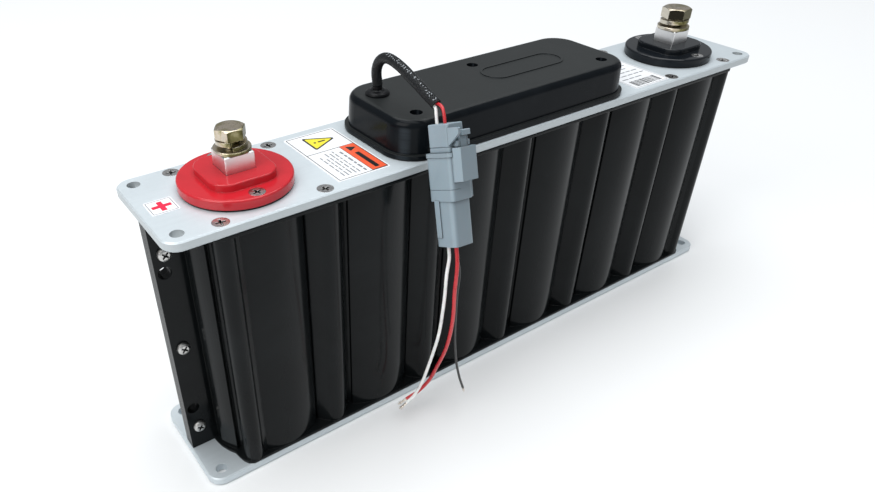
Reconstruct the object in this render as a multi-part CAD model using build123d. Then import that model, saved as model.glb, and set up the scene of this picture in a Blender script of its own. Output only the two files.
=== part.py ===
from build123d import *
import math
import os

# Six-cell energy storage module, in millimetres with +Z up.
# The origin is the centre of the bottom plate's underside.  X runs along the row of
# cells, with the positive terminal at -X.  -Y is the front, where the lead hangs.
# Pieces: plates, insulators, two half shells, cells, busbars, terminals, a covered
# balancing board, and a lead with a plug and receptacle.

os.makedirs("parts", exist_ok=True)

SIDES = (-1, 1)

# Stack of layers, from the bottom up
PLATE_T = 5.0
INSUL_T = 1.5
BAR_T = 3.0
CELL_LEN = 138.0                      # over the terminals
Z_INS0 = PLATE_T                      # top of the bottom plate
Z_BAR0 = Z_INS0 + INSUL_T
Z_CELL0 = Z_BAR0 + BAR_T
Z_CELL1 = Z_CELL0 + CELL_LEN
Z_BAR1 = Z_CELL1 + BAR_T              # top of the upper busbars
Z_PLATE1 = Z_BAR1 + INSUL_T           # underside of the top plate
DECK_Z = Z_PLATE1 + PLATE_T           # top face of the top plate

# Row of cells and what lines up with it
CELL_COUNT = 6
CELL_PITCH = 64.0
CELLS = [(i - (CELL_COUNT - 1) / 2) * CELL_PITCH for i in range(CELL_COUNT)]
PILLARS = [(i - 2) * CELL_PITCH for i in range(CELL_COUNT - 1)]
TERM_X = CELLS[-1]                    # end cells carry the terminals

# Corner columns and countersunk screws
COLUMN_X, COLUMN_Y, COLUMN_R = 181.5, 28.4, 5.5
PLATE_SCREWS = [(sx * x, sy * COLUMN_Y)
                for x in (COLUMN_X, PILLARS[-1]) for sx in SIDES for sy in SIDES]
PLATE_HEAD_R = 4.1
SHANK_R = 2.0
FLANGE_HEAD_R = 3.9
CSK_RIM = 0.35                        # straight rim above the countersink cone
SCREW_SINK = 0.05                     # screw heads sit this far below the surface
CONTACT_GAP = 0.02                    # gap between stacked fasteners

# Features shared by the top plate and the parts on it
FLANGE_SCREWS = [(sx * TERM_X, sy * 22.4) for sx in SIDES for sy in SIDES]
SPIGOT_R = 17.4                       # terminal flange spigot through the plate
POST_S = 15.2                         # width of the square terminal post
COVER_SCREWS = [(-68.0, -19.0), (68.0, -19.0), (0.0, 17.0)]
STANDOFFS = [(-54.0, -20.0), (54.0, -20.0), (-54.0, 6.0), (54.0, 6.0)]


# Helpers ---------------------------------------------------------------------
def save(name, *shapes):
    """Write the solids of all the shapes to one STEP file."""
    solids = []
    for shape in shapes:
        solids += list(shape.solids())
    out = solids[0] if len(solids) == 1 else Compound(children=solids)
    export_step(out, f"parts/{name}.step")


def cyl(radius, z_low, z_high, x=0.0, y=0.0):
    return Pos(x, y, (z_low + z_high) / 2) * Cylinder(radius, z_high - z_low)


def box(x_low, x_high, y_low, y_high, z_low, z_high):
    centre = Pos((x_low + x_high) / 2, (y_low + y_high) / 2, (z_low + z_high) / 2)
    return centre * Box(x_high - x_low, y_high - y_low, z_high - z_low)


def slab(sketch, z_low, z_high):
    return Pos(0, 0, z_low) * extrude(sketch, z_high - z_low)


def poly(points):
    return make_face(Polyline(*points, close=True))


def rounded_rect(x_low, x_high, y_low, y_high, radius):
    centre = Pos((x_low + x_high) / 2, (y_low + y_high) / 2)
    return centre * RectangleRounded(x_high - x_low, y_high - y_low, radius)


def turned(points):
    """Solid of revolution about Z from (radius, z) points."""
    face = make_face(Polyline(*[(radius, 0, z) for radius, z in points], close=True))
    return revolve(face, Axis.Z)


def drill(part, radius, places, z_low, z_high):
    """Vertical through holes at (x, y) places; the tool overshoots by 1 mm each way."""
    for x, y in places:
        part -= cyl(radius, z_low - 1, z_high + 1, x, y)
    return part


def rim_edges(part, z, tolerance=1e-4):
    """Edges whose lowest point is at z."""
    return part.edges().filter_by(lambda e: abs(e.bounding_box().min.Z - z) < tolerance)


def bevel_level(part, z, size):
    """Chamfer the edges that lie flat at z."""
    flat = rim_edges(part, z).filter_by(lambda e: abs(e.bounding_box().max.Z - z) < 1e-4)
    return chamfer(flat, size)


def sweep_round(path, radius, bore=0.0):
    start = Plane(origin=path @ 0, z_dir=path % 0)
    profile = start * Circle(radius)
    if bore:
        profile = profile - start * Circle(bore)
    return sweep(profile, path=path)


def cross_recess(width, slot, depth, z_top, angle):
    """Cutter for a cross recess with a round core."""
    cutter = Box(width, slot, depth) + Box(slot, width, depth) + Cylinder(slot * 0.95, depth)
    return Pos(0, 0, z_top) * Rot(0, 0, angle) * (Pos(0, 0, -depth / 2) * cutter)


def place_csk(shape, x, y, z, facing_down):
    if facing_down:
        shape = Rot(180, 0, 0) * shape
    return Pos(x, y, z) * shape


def csk_screw(x, y, z, head_r, length, angle, facing_down=False):
    """Countersunk cross-recess screw with its head face at z."""
    z_neck = -CSK_RIM - (head_r - SHANK_R)
    screw = turned([(0, 0), (head_r, 0), (head_r, -CSK_RIM), (SHANK_R, z_neck),
                    (SHANK_R, -length + 1.5), (0, -length)])
    screw = screw - cross_recess(head_r * 1.15, head_r * 0.26, 1.5, 0, angle)
    return place_csk(screw, x, y, z, facing_down)


CSK_GAP = 0.03                        # clearance round a countersunk screw


def csk_hole(x, y, z, head_r, depth, facing_down=False):
    """Cutter for a countersunk screw hole opening at z."""
    head, shank = head_r + CSK_GAP, SHANK_R + CSK_GAP
    z_rim = -CSK_RIM - CSK_GAP
    cutter = turned([(0, 0.5), (head, 0.5), (head, z_rim),
                     (shank, z_rim - (head_r - SHANK_R)), (shank, -depth), (0, -depth)])
    return place_csk(cutter, x, y, z, facing_down)


def pan_screw(head_r, head_h, shank_r, length, angle):
    """Pan-head screw pointing down, with the underside of its head at z = 0."""
    screw = turned([(0, head_h), (head_r * 0.62, head_h), (head_r * 0.93, head_h * 0.72),
                    (head_r, head_h * 0.3), (head_r, 0), (shank_r, 0),
                    (shank_r, -length + 0.8), (shank_r - 0.5, -length), (0, -length)])
    return screw - cross_recess(head_r * 1.15, head_r * 0.27, head_h * 0.75, head_h, angle)


# Plates ----------------------------------------------------------------------
PACK_L, PACK_W, PLATE_R = 418.0, 68.0, 8.0
PLATE_BEVEL = 0.7
CORNER_HOLES = [(sx * 200.9, sy * 26.4) for sx in SIDES for sy in SIDES]
CORNER_HOLE_R = 3.25
WIRE_SLOT = rounded_rect(-14, 14, -14, -6, 2.5)     # lets the sense wires through


def plate_blank(z_low, z_high):
    plate = slab(RectangleRounded(PACK_L, PACK_W, PLATE_R), z_low, z_high)
    plate = bevel_level(plate, z_high, PLATE_BEVEL)
    plate = bevel_level(plate, z_low, PLATE_BEVEL)
    return drill(plate, CORNER_HOLE_R, CORNER_HOLES, z_low, z_high)


def bottom_plate():
    plate = plate_blank(0, PLATE_T)
    for x, y in PLATE_SCREWS:
        plate -= csk_hole(x, y, 0, PLATE_HEAD_R, PLATE_T + 1, facing_down=True)
    return plate


def top_plate():
    plate = plate_blank(Z_PLATE1, DECK_Z)
    spigots = [(side * TERM_X, 0) for side in SIDES]
    plate = drill(plate, SPIGOT_R + 0.1, spigots, Z_PLATE1, DECK_Z)
    plate = drill(plate, 2.03, FLANGE_SCREWS, Z_PLATE1, DECK_Z)
    for x, y in PLATE_SCREWS:
        plate -= csk_hole(x, y, DECK_Z, PLATE_HEAD_R, PLATE_T + 1)
    plate = drill(plate, 1.78, COVER_SCREWS, Z_PLATE1, DECK_Z)
    plate = drill(plate, 1.55, STANDOFFS, Z_PLATE1, DECK_Z)
    return plate - slab(WIRE_SLOT, Z_PLATE1 - 1, DECK_Z + 1)


save("bottom_plate", bottom_plate())
save("top_plate", top_plate())

# Insulator sheets ------------------------------------------------------------
SHELL_BORE_R = 30.9                   # shell bore round each cell


def row_sketch(radius, half_y):
    """Plan of the row: a circle on each cell joined by a straight band."""
    sketch = Rectangle(2 * TERM_X, 2 * half_y)
    for cell_x in CELLS:
        sketch += Pos(cell_x, 0) * Circle(radius)
    return sketch


def top_insulator(plan):
    sheet = slab(plan, Z_BAR1, Z_PLATE1)
    post_hole = Rectangle(POST_S + 0.4, POST_S + 0.4)
    for side in SIDES:
        sheet -= slab(Pos(side * TERM_X, 0) * post_hole, Z_BAR1 - 1, Z_PLATE1 + 1)
    sheet = drill(sheet, 2.3, FLANGE_SCREWS, Z_BAR1, Z_PLATE1)
    sheet = drill(sheet, 2.0, COVER_SCREWS, Z_BAR1, Z_PLATE1)
    sheet = drill(sheet, 1.8, STANDOFFS, Z_BAR1, Z_PLATE1)
    return sheet - slab(WIRE_SLOT, Z_BAR1 - 1, Z_PLATE1 + 1)


insulator_plan = row_sketch(SHELL_BORE_R - 0.25, 19.6)
save("bottom_insulator", slab(insulator_plan, Z_INS0, Z_BAR0))
save("top_insulator", top_insulator(insulator_plan))

# Side shells -----------------------------------------------------------------
SHELL_BASE_R = 32.4                   # shell outside in the grooves
BUMP_R, BUMP_HALF = 33.5, 19.2        # raised band over each cell
PIL_NOSE_R, PIL_PEAK = 8.0, 33.6      # rounded pillar between two cells
PIL_HALF, PIL_EDGE = 11.0, 25.9
RIB_R, RIB_ROOT_R = 34.6, 30.0        # raised rib on each end wall
RIB_ANGLES = range(18, 37, 3)         # degrees
END_FLANGE_X0, END_FLANGE_X1, END_FLANGE_T = 190.0, 208.0, 4.3
SEAM = 0.02                           # half gap between the two shells
LIP_T = 1.6                           # foot and head lips
PILOT_DEPTH = 18
END_SCREW_X, END_SCREWS_Z = 202.0, [20.3, 77.5, 135.0]
END_HOLE_X, END_HOLES_Z = 203.2, [34.4, 124.5]

# Lip outline at the +X end, as (x, distance in front of the seam)
LIP_HALF = [(195.0, 0.0), (195.0, 5.0), (194.8, 7.3), (194.0, 12.4), (192.1, 17.5),
            (189.9, 21.5), (189.3, 25.8), (188.5, 29.3), (187.0, 32.2), (184.2, 33.85)]


def pillar_sketch(pillar_x):
    nose_y = -(PIL_PEAK - PIL_NOSE_R)
    tangent = PIL_NOSE_R * math.sin(math.radians(45))
    sketch = poly([
        (pillar_x - PIL_HALF, -20), (pillar_x - PIL_HALF, -PIL_EDGE),
        (pillar_x - tangent, nose_y - tangent), (pillar_x + tangent, nose_y - tangent),
        (pillar_x + PIL_HALF, -PIL_EDGE), (pillar_x + PIL_HALF, -20)])
    return sketch + Pos(pillar_x, nose_y) * Circle(PIL_NOSE_R)


def rib_point(side, radius, degrees):
    angle = math.radians(degrees)
    return (side * (TERM_X + radius * math.cos(angle)), -radius * math.sin(angle))


def shell_outline():
    """Outside plan of the front shell (y <= 0), without lips and end flanges."""
    sketch = Rectangle(2 * TERM_X, 2 * 22.0)
    for cell_x in CELLS:
        sketch += Pos(cell_x, 0) * Circle(SHELL_BASE_R)
        sketch += (Pos(cell_x, 0) * Circle(BUMP_R)) & (
            Pos(cell_x, 0) * Rectangle(2 * BUMP_HALF, 80))
    for pillar_x in PILLARS:
        sketch += pillar_sketch(pillar_x)
    for side in SIDES:
        sketch += Pos(side * COLUMN_X, -COLUMN_Y) * Circle(COLUMN_R)
        # web that joins the corner column to the wall of the end cell
        sketch += poly([(side * (TERM_X + 14), -27),
                        (side * (COLUMN_X + 3.4), -COLUMN_Y + 3.0),
                        (side * (COLUMN_X - 1.0), -COLUMN_Y - 4.9),
                        (side * (TERM_X + 14), -30.2)])
        sketch += poly([rib_point(side, RIB_ROOT_R, RIB_ANGLES[0])]
                       + [rib_point(side, RIB_R, angle) for angle in RIB_ANGLES]
                       + [rib_point(side, RIB_ROOT_R, RIB_ANGLES[-1])])
    return sketch & (Pos(0, -50) * Rectangle(500, 100))


def shell_inside():
    sketch = row_sketch(SHELL_BORE_R, 20.0)
    for pillar_x in PILLARS[1:-1]:    # the end pillars stay solid for the plate screws
        sketch += Pos(pillar_x, -25) * Rectangle(10.0, 10.6)
    return sketch


def front_shell():
    lip = poly([(x, -y) for x, y in LIP_HALF] + [(-x, -y) for x, y in reversed(LIP_HALF)])
    shell = slab(shell_outline(), Z_INS0, Z_PLATE1)
    shell += slab(lip, Z_INS0, Z_INS0 + LIP_T)
    shell += slab(lip, Z_PLATE1 - LIP_T, Z_PLATE1)
    for side in SIDES:
        x_low, x_high = sorted((side * END_FLANGE_X0, side * END_FLANGE_X1))
        shell += box(x_low, x_high, -END_FLANGE_T, 0, Z_INS0, Z_PLATE1)
    shell -= slab(shell_inside(), Z_INS0 - 1, Z_PLATE1 + 1)
    shell &= box(-300, 300, -100, -SEAM, -10, 300)
    for side in SIDES:
        for z in END_SCREWS_Z:
            shell -= Pos(side * END_SCREW_X, 0, z) * Rot(90, 0, 0) * Cylinder(1.75, 20)
        for z in END_HOLES_Z:
            shell -= Pos(side * END_HOLE_X, 0, z) * Rot(90, 0, 0) * Cylinder(3.4, 20)
    for x, y in PLATE_SCREWS:
        if y < 0:
            shell -= cyl(SHANK_R + CSK_GAP, Z_INS0 - 1, Z_INS0 + PILOT_DEPTH, x, y)
            shell -= cyl(SHANK_R + CSK_GAP, Z_PLATE1 - PILOT_DEPTH, Z_PLATE1 + 1, x, y)
    return shell


front = front_shell()
save("front_shell", front)
save("rear_shell", mirror(front, Plane.XZ))

# Cells and busbars -----------------------------------------------------------
CELL_R = 30.35
CELL_TERM_R, CELL_TERM_H = 7.0, 3.2
SLEEVE_R = 30.75                      # heat-shrink sleeve over a cell
BAR_HALF = 15                         # half width, and reach past a cell centre


def cell(x):
    """Can with a terminal at each end and a rolled groove near the top."""
    can_low, can_high = Z_CELL0 + CELL_TERM_H, Z_CELL1 - CELL_TERM_H
    return Pos(x, 0, 0) * turned([
        (0, Z_CELL0), (CELL_TERM_R, Z_CELL0), (CELL_TERM_R, can_low),
        (CELL_R - 2.2, can_low), (CELL_R - 1.0, can_low - 1.4), (CELL_R, can_low + 0.4),
        (CELL_R, can_high - 8), (CELL_R - 1.3, can_high - 7),
        (CELL_R - 1.3, can_high - 5), (CELL_R, can_high - 4),
        (CELL_R, can_high - 0.4), (CELL_R - 1.0, can_high + 1.2), (CELL_R - 2.2, can_high),
        (CELL_TERM_R, can_high), (CELL_TERM_R, Z_CELL1), (0, Z_CELL1)])


def cell_sleeve(x):
    inset = CELL_TERM_H + 1.0
    return (cyl(SLEEVE_R, Z_CELL0 + inset, Z_CELL1 - inset, x)
            - cyl(CELL_R + 0.02, Z_CELL0, Z_CELL1, x))


def busbar(x_left, x_right, z):
    """Strip over two neighbouring cells, with a slot between them."""
    plan = rounded_rect(x_left - BAR_HALF, x_right + BAR_HALF, -BAR_HALF, BAR_HALF, 12)
    bar = slab(plan, z, z + BAR_T)
    bar = drill(bar, 2.5, [(x_left, 0), (x_right, 0)], z, z + BAR_T)
    x_mid = (x_left + x_right) / 2
    return bar - slab(rounded_rect(x_mid - 3, x_mid + 3, -9, 9, 2.5), z - 1, z + BAR_T + 1)


for number, cell_x in enumerate(CELLS, start=1):
    save(f"cell_{number}", cell(cell_x))
save("cell_sleeves", *[cell_sleeve(cell_x) for cell_x in CELLS])
for level, bar_z, first_cells in (("bottom", Z_BAR0, (1, 3, 5)), ("top", Z_CELL1, (2, 4))):
    for number in first_cells:
        save(f"{level}_busbar_{number}_{number + 1}",
             busbar(CELLS[number - 1], CELLS[number], bar_z))

# Terminals -------------------------------------------------------------------
POST_TOP = DECK_Z + 17.8
POST_BORE_DEPTH = 16.0
GASKET_T = 1.0
FLANGE_R = 27.7                       # round insulating flange
FLANGE_TOP = DECK_Z + 5.6
BOSS_W, BOSS_CORNER = 33.6, 9.2       # square boss with wide round corners
BOSS_TOP = DECK_Z + 9.4
BOLT_LEN = 20.0


def terminal_post(x, bore_r):
    post = slab(Pos(x, 0) * RectangleRounded(30, 30, 5), Z_CELL1, Z_BAR1)
    column = slab(Pos(x, 0) * RectangleRounded(POST_S, POST_S, 0.7), Z_BAR1, POST_TOP)
    post += bevel_level(column, POST_TOP, 0.5)
    return post - cyl(bore_r, POST_TOP - POST_BORE_DEPTH, POST_TOP + 1, x, 0)


def terminal_flange(x):
    base = slab(Circle(FLANGE_R), DECK_Z + GASKET_T, FLANGE_TOP)
    base = fillet(rim_edges(base, FLANGE_TOP), 1.0)
    boss = slab(RectangleRounded(BOSS_W, BOSS_W, BOSS_CORNER), FLANGE_TOP - 0.5, BOSS_TOP)
    boss = fillet(rim_edges(boss, BOSS_TOP), 0.7)
    flange = base + boss
    flange += slab(Circle(SPIGOT_R), Z_PLATE1, DECK_Z + GASKET_T + 0.5)
    flange -= slab(Rectangle(POST_S + 0.2, POST_S + 0.2), Z_PLATE1 - 1, DECK_Z + 12)
    for _, y in FLANGE_SCREWS[:2]:
        flange -= csk_hole(0, y, FLANGE_TOP, FLANGE_HEAD_R, 8)
    return Pos(x, 0, 0) * flange


def flange_gasket(x):
    ring = slab(Circle(FLANGE_R - 0.5) - Circle(SPIGOT_R + 0.15), DECK_Z, DECK_Z + GASKET_T)
    screws = [(0, y) for _, y in FLANGE_SCREWS[:2]]
    return Pos(x, 0, 0) * drill(ring, 2.3, screws, DECK_Z, DECK_Z + GASKET_T)


def flat_washer(x, z, radius, bore_r, thick):
    washer = cyl(radius, z, z + thick, x, 0) - cyl(bore_r, z - 1, z + thick + 1, x, 0)
    circles = washer.edges().filter_by(GeomType.CIRCLE).sort_by(SortBy.RADIUS)
    return chamfer(circles[-2:], 0.25)


def spring_washer(x, z, r_in, r_out, thick, rise, angle):
    """Split lock washer in its free state, a 352 degree turn resting on z."""
    path = Helix(pitch=rise * 360.0 / 352.0, height=rise, radius=(r_in + r_out) / 2)
    start = Plane(origin=path @ 0, x_dir=(1, 0, 0), z_dir=path % 0)
    washer = sweep(start * Rectangle(r_out - r_in, thick), path=path, is_frenet=True)
    lift = z - washer.bounding_box().min.Z
    return Pos(x, 0, lift) * Rot(0, 0, angle) * washer


def hex_bolt(diameter, flats, head_h, pitch, hex_angle):
    """Hex bolt with a chamfered head standing on z = 0 and a ringed thread."""
    corner_r = flats / math.cos(math.radians(30)) / 2
    crown_r = flats / 2 * 0.95
    rim_r = corner_r + 1
    hexagon = extrude(RegularPolygon(corner_r, 6), head_h)
    crown = turned([(0, 0), (rim_r, 0), (rim_r, head_h - (rim_r - crown_r) * 0.5),
                    (crown_r, head_h), (0, head_h)])
    head = hexagon & crown
    major = diameter / 2
    minor = major - 0.54 * pitch
    z = -4.2                          # the thread starts here
    profile = [(0, 0.3), (major, 0.3), (major, z)]
    while z - pitch > -BOLT_LEN + 0.8:
        profile += [(minor, z - pitch / 2), (major, z - pitch)]
        z -= pitch
    profile += [(minor, -BOLT_LEN), (0, -BOLT_LEN)]
    return Rot(0, 0, hex_angle) * head + turned(profile)


def save_terminal(name, x, bolt, hex_angle, flat_r, flat_t, lock):
    """Save one terminal; bolt and lock hold the sizes of its bolt and lock washer."""
    bolt_r = bolt["diameter"] / 2
    save(f"{name}_terminal_post", terminal_post(x, bolt_r + 0.05))
    save(f"{name}_terminal_flange", terminal_flange(x))
    save(f"{name}_flange_gasket", flange_gasket(x))
    z = POST_TOP + 0.01
    save(f"{name}_flat_washer", flat_washer(x, z, flat_r, bolt_r + 0.3, flat_t))
    z += flat_t + CONTACT_GAP
    washer = spring_washer(x, z, **lock)
    save(f"{name}_spring_washer", washer)
    z = washer.bounding_box().max.Z + CONTACT_GAP
    save(f"{name}_terminal_bolt", Pos(x, 0, z) * hex_bolt(hex_angle=hex_angle, **bolt))


save_terminal(
    "positive", -TERM_X, hex_angle=55.0, flat_r=9.0, flat_t=1.6,
    bolt=dict(diameter=8.0, flats=13.0, head_h=5.3, pitch=1.25),
    lock=dict(r_in=4.2, r_out=7.4, thick=2.0, rise=2.4, angle=249.0))
save_terminal(
    "negative", TERM_X, hex_angle=6.5, flat_r=10.0, flat_t=2.0,
    bolt=dict(diameter=10.0, flats=16.0, head_h=6.4, pitch=1.5),
    lock=dict(r_in=5.2, r_out=8.9, thick=2.3, rise=2.5, angle=325.0))

# Screws of the flanges, plates and shells ------------------------------------
# The recess angles vary from screw to screw, as if driven by hand.
save("flange_screws", *[
    csk_screw(x, y, FLANGE_TOP - SCREW_SINK, FLANGE_HEAD_R, 10.5, angle=15)
    for x, y in FLANGE_SCREWS])
save("top_plate_screws", *[
    csk_screw(x, y, DECK_Z - SCREW_SINK, PLATE_HEAD_R, 20, angle=(x * 7 + y * 3) % 90)
    for x, y in PLATE_SCREWS])
save("bottom_plate_screws", *[
    csk_screw(x, y, SCREW_SINK, PLATE_HEAD_R, 20, angle=(x * 5 + y) % 90, facing_down=True)
    for x, y in PLATE_SCREWS])

NUT_T = 2.6


def shell_screw(x, z):
    screw = pan_screw(head_r=3.5, head_h=2.3, shank_r=1.7, length=12.4, angle=(z * 3) % 90)
    return Pos(x, -END_FLANGE_T - CONTACT_GAP, z) * Rot(90, 0, 0) * screw


def shell_nut(x, z):
    nut = extrude(RegularPolygon(3.2, 6), NUT_T) - Pos(0, 0, -1) * extrude(Circle(1.73), 5)
    return Pos(x, END_FLANGE_T + CONTACT_GAP + NUT_T, z) * Rot(90, 0, 0) * nut


end_screws = [(side * END_SCREW_X, z) for side in SIDES for z in END_SCREWS_Z]
save("shell_screws", *[shell_screw(x, z) for x, z in end_screws])
save("shell_nuts", *[shell_nut(x, z) for x, z in end_screws])

# Cover over the balancing board ----------------------------------------------
COVER_X, COVER_Y, COVER_R = 83.8, 31.7, 17.0      # half sizes and corner of the body
FOOT_X, FOOT_Y = 85.7, 33.5                       # half sizes of the foot
COVER_WALL = 2.2
COVER_TOP = DECK_Z + 20.0
COVER_GASKET_T = 0.8
DRAFT = 1.0                                       # inward lean of each wall at the top
GROM_X, GROM_Y = -70.0, 12.0                      # cable grommet


def drafted_body(half_x, half_y, z_low, z_high, radius):
    return loft([
        Pos(0, 0, z_low) * RectangleRounded(2 * half_x, 2 * half_y, radius),
        Pos(0, 0, z_high) * RectangleRounded(
            2 * (half_x - DRAFT), 2 * (half_y - DRAFT), radius - DRAFT)])


def ridge_plan(inset):
    return rounded_rect(-6.0 + inset, 52.0 - inset, -9.5 + inset, 9.5 - inset, 9.4 - inset)


def cover():
    z_foot = DECK_Z + COVER_GASKET_T
    outer = drafted_body(COVER_X, COVER_Y, z_foot, COVER_TOP, COVER_R)
    outer = fillet(rim_edges(outer, COVER_TOP, tolerance=1e-3), 4.2)
    foot = slab(RectangleRounded(2 * FOOT_X, 2 * FOOT_Y, COVER_R + 1.5), z_foot, z_foot + 2.0)
    inner = drafted_body(COVER_X - COVER_WALL, COVER_Y - COVER_WALL, DECK_Z - 1,
                         COVER_TOP - COVER_WALL, COVER_R - COVER_WALL)
    body = outer + foot - inner
    for x, y in COVER_SCREWS:
        body += cyl(5.6, DECK_Z + 0.2, COVER_TOP - 1, x, y)
    for x, y in COVER_SCREWS:         # head well, then shank hole
        body -= cyl(3.3, DECK_Z + 5.0, COVER_TOP + 1, x, y)
        body -= cyl(1.95, DECK_Z - 1, DECK_Z + 6, x, y)
    body -= cyl(4.95, COVER_TOP - 6, COVER_TOP + 1, GROM_X, GROM_Y)
    # low ridge that outlines an oblong on the top face
    body += (slab(ridge_plan(0.0), COVER_TOP - 0.6, COVER_TOP + 0.45)
             - slab(ridge_plan(1.4), COVER_TOP - 1.0, COVER_TOP + 1.0))
    return body


def cover_gasket():
    plan = (RectangleRounded(2 * FOOT_X - 0.8, 2 * FOOT_Y - 0.8, COVER_R + 1.1)
            - RectangleRounded(2 * (COVER_X - COVER_WALL), 2 * (COVER_Y - COVER_WALL),
                               COVER_R - COVER_WALL))
    return slab(plan, DECK_Z, DECK_Z + COVER_GASKET_T)


save("cover", cover())
save("cover_gasket", cover_gasket())
save("cover_screws", *[
    Pos(x, y, DECK_Z + 5.02) * pan_screw(
        head_r=3.1, head_h=2.3, shank_r=1.75, length=9.8, angle=25.0 * i)
    for i, (x, y) in enumerate(COVER_SCREWS)])

# Balancing board -------------------------------------------------------------
BOARD_Z = DECK_Z + 6.0
BOARD_TOP = BOARD_Z + 1.6
CHANNELS_X = [-36.0 + 16.0 * i for i in range(CELL_COUNT)]    # one set of parts per cell

# Lead wires on the board: pad x, pad y, height of the run to the grommet, and
# position round the bundle in degrees
PIGTAILS = {
    "white": (-46.0, -2.0, 167.0, 165.0),
    "red": (-46.0, 2.0, 168.8, 45.0),
    "black": (-46.0, -6.0, 169.1, 285.0),
}


def balancing_board():
    board = slab(rounded_rect(-60, 60, -24, 10, 2.0), BOARD_Z, BOARD_TOP)
    board = drill(board, 1.6, STANDOFFS, BOARD_Z, BOARD_TOP)
    pads = [(x, y) for x, y, _, _ in PIGTAILS.values()]
    return drill(board, 1.0, pads, BOARD_Z, BOARD_TOP)


def standoff(x, y):
    """Hex spacer with a stud at each end and a round head above the board."""
    return (slab(Pos(x, y) * RegularPolygon(3.0, 6), DECK_Z, BOARD_Z)
            + cyl(1.5, Z_PLATE1 + 0.5, DECK_Z + 0.2, x, y)
            + cyl(1.55, BOARD_Z - 0.2, BOARD_TOP, x, y)
            + cyl(2.4, BOARD_TOP, BOARD_TOP + 1.2, x, y))


def bypass_resistor(x):
    body = Pos(x, -19.0, BOARD_TOP + 1.5) * Box(11.0, 5.4, 3.0)
    return fillet(body.edges().filter_by(Axis.Y), 0.6)


save("balancing_board", balancing_board())
save("board_standoffs", *[standoff(x, y) for x, y in STANDOFFS])
save("bypass_resistors", *[bypass_resistor(x) for x in CHANNELS_X])
save("control_chips", *[Pos(x, -3.0, BOARD_TOP + 0.8) * Box(6.0, 5.0, 1.6)
                        for x in CHANNELS_X])

# Sense wires from the busbars and terminals to the board ---------------------
REACH = BAR_HALF + 0.05               # wires start just clear of the bars
Z_LOW_RUN = Z_BAR0 + BAR_T / 2        # beside the bottom bars
Z_TOP_RUN = Z_CELL1 + BAR_T / 2       # beside the top bars
Z_CROSS = 146.2                       # just under the top bars
Y_PILLAR = -26                        # inside the hollow pillars
Y_HARNESS = -17.6

# Routes on the +X side, as (x, y, z); the -X side mirrors them
SENSE_ROUTES = [
    [(CELLS[5] - REACH, -9, Z_TOP_RUN), (138, -9, Z_TOP_RUN), (138, Y_HARNESS, Z_TOP_RUN),
     (12, Y_HARNESS, Z_TOP_RUN), (12, -11.5, Z_TOP_RUN), (12, -11.5, BOARD_Z)],
    [(CELLS[3] - REACH, -8, Z_TOP_RUN), (9, -8, Z_TOP_RUN), (9, -8, BOARD_Z)],
    [(CELLS[4] - REACH, -4, Z_LOW_RUN), (64, -4, Z_LOW_RUN), (64, Y_PILLAR, Z_LOW_RUN),
     (64, Y_PILLAR, Z_CROSS), (64, -12, Z_CROSS), (5, -12, Z_CROSS), (5, -12, BOARD_Z)],
]
CENTRE_ROUTE = [(0, -REACH, Z_LOW_RUN), (0, Y_PILLAR, Z_LOW_RUN), (0, Y_PILLAR, Z_CROSS),
                (0, -8, Z_CROSS), (0, -8, BOARD_Z)]


def sense_wire(points, side=1):
    path = FilletPolyline(*[(side * x, y, z) for x, y, z in points], radius=1.8)
    return sweep_round(path, 0.7)


save("sense_wires",
     *[sense_wire(route, side=-1) for route in SENSE_ROUTES],
     sense_wire(CENTRE_ROUTE),
     *[sense_wire(route) for route in SENSE_ROUTES])

# Grommet and braided cable sleeve --------------------------------------------
# Grommet section, as (radius, height above the cover top)
GROMMET = [(2.56, -3.6), (4.8, -3.6), (5.9, -2.3), (4.85, -2.25), (4.85, 0.02), (6.3, 0.02),
           (6.5, 0.7), (6.2, 1.5), (5.4, 2.1), (4.0, 2.5), (3.4, 3.0), (2.56, 3.0)]
save("cable_grommet", Pos(GROM_X, GROM_Y, 0) * turned([(r, COVER_TOP + z) for r, z in GROMMET]))

SLEEVE_BEND_Z = COVER_TOP + 3.3       # straight below here, arched above

# Sleeve arch, as (x, y, z) from the grommet centre at the cover top
SLEEVE_ARCH = [(0.0, 0.0, 3.3), (-0.9, -0.3, 12.0), (-0.9, -2.8, 18.0), (-0.4, -8.0, 21.3),
               (0.0, -15.0, 21.1), (0.1, -23.0, 19.2), (-0.1, -30.0, 17.0),
               (-0.2, -37.0, 14.7), (0.1, -43.0, 12.2), (0.8, -47.6, 9.8)]
sleeve_arch = Spline(
    *[Vector(GROM_X + x, GROM_Y + y, COVER_TOP + z) for x, y, z in SLEEVE_ARCH],
    tangents=[Vector(0, 0, 1), Vector(0.14, -0.83, -0.54).normalized()])
sleeve_stem = Line((GROM_X, GROM_Y, COVER_TOP - 6.0), (GROM_X, GROM_Y, SLEEVE_BEND_Z))
save("cable_sleeve", sweep_round(Wire([sleeve_stem, sleeve_arch]), 2.5, bore=2.1))

# Connector frame -------------------------------------------------------------
# Local coordinates: across (about +X), forward (towards the latch, about -Y) and up
# the tilted connector axis.
CONN_ORIGIN = Vector(-69.99, -47.0, 165.81)
tilt_up = Vector(0.1152, 0.3724, 0.9209)
tilt_across = Vector(0.9719, 0.1487, -0.1825)
CONN_X = (tilt_across - tilt_up * tilt_across.dot(tilt_up)).normalized()
CONN_Z = tilt_up.normalized()
CONN = Location(Plane(origin=CONN_ORIGIN, x_dir=CONN_X, z_dir=CONN_Z))

REC_BOTTOM, REC_STEP, PLUG_TOP = -44.4, -21.8, 14.65          # heights on the axis
# Cavities, as (across, forward)
CAVITIES = {"red": (-2.7, 2.5), "spare": (2.7, 2.5), "white": (-2.7, -2.5),
            "black": (2.7, -2.5)}
WIRES = ["white", "red", "black"]


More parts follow.
